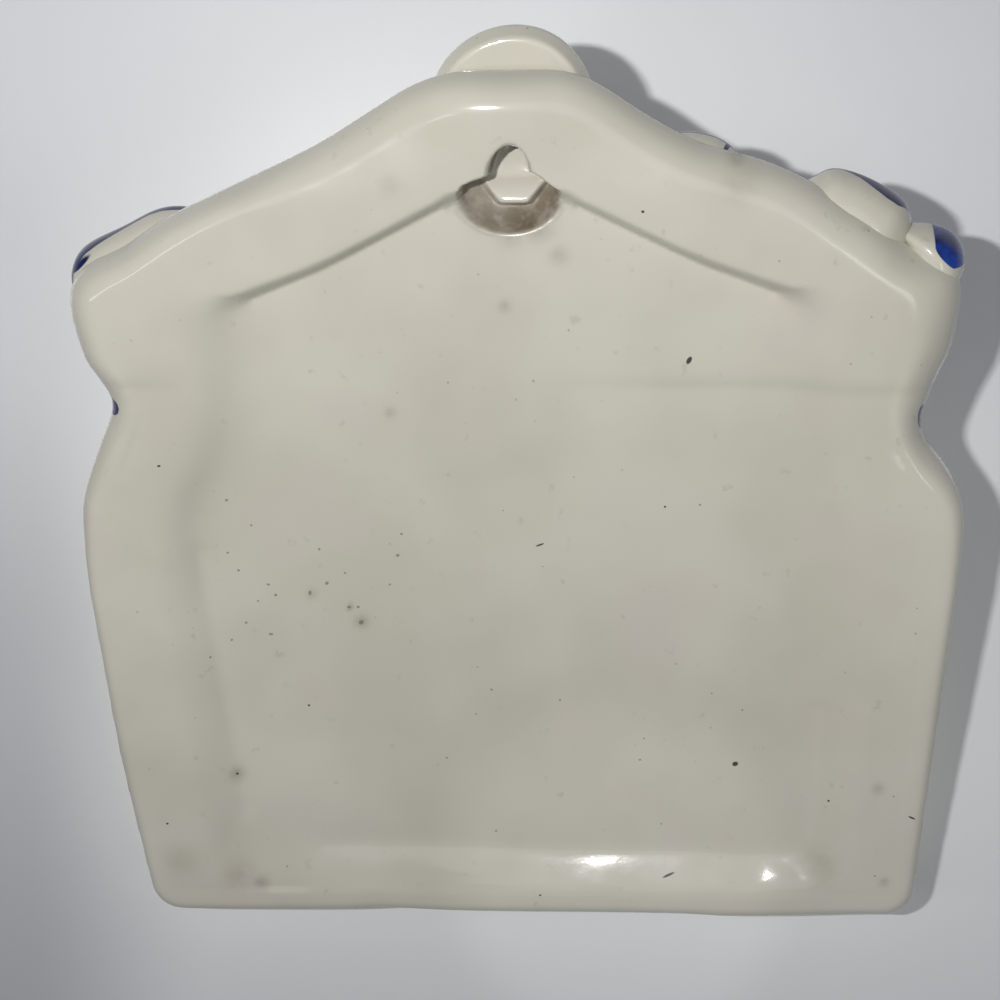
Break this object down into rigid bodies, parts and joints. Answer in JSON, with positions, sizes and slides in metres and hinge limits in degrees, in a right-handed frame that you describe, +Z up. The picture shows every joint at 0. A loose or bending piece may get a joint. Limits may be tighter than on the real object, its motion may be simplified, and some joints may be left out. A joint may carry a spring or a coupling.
{
  "type": "hanging wall vase",
  "caption": "Flat-backed glazed earthenware wall pocket with a gabled back plate, waisted sides, a bellied flower pocket, applied leaves and a blind keyhole hanger.",
  "frame": {"origin": "centre of the hanger's arch, on the plane of the back that lies against the wall", "axes": "+Z up as the vase hangs, +Y out of the back towards the wall, the pocket faces -Y"},
  "size_m": [0.1534, 0.0441, 0.1584],
  "materials": {
    "ivory_glaze": "glossy ivory glaze with pinholes and faint crazing stains",
    "blue_line_glaze": "glossy ivory glaze with a brushed cobalt line",
    "blue_edge_glaze": "glossy ivory glaze with brushed cobalt edges"
  },
  "bodies": {
    "root": {"back_plate": "ivory_glaze", "pocket_shell": "ivory_glaze", "pocket_lip": "blue_line_glaze", "crest_knob": "ivory_glaze", "right_leaf": "blue_edge_glaze", "left_bud": "blue_edge_glaze", "left_leaf": "blue_edge_glaze", "left_tip": "blue_edge_glaze"}
  },
  "joints": []
}
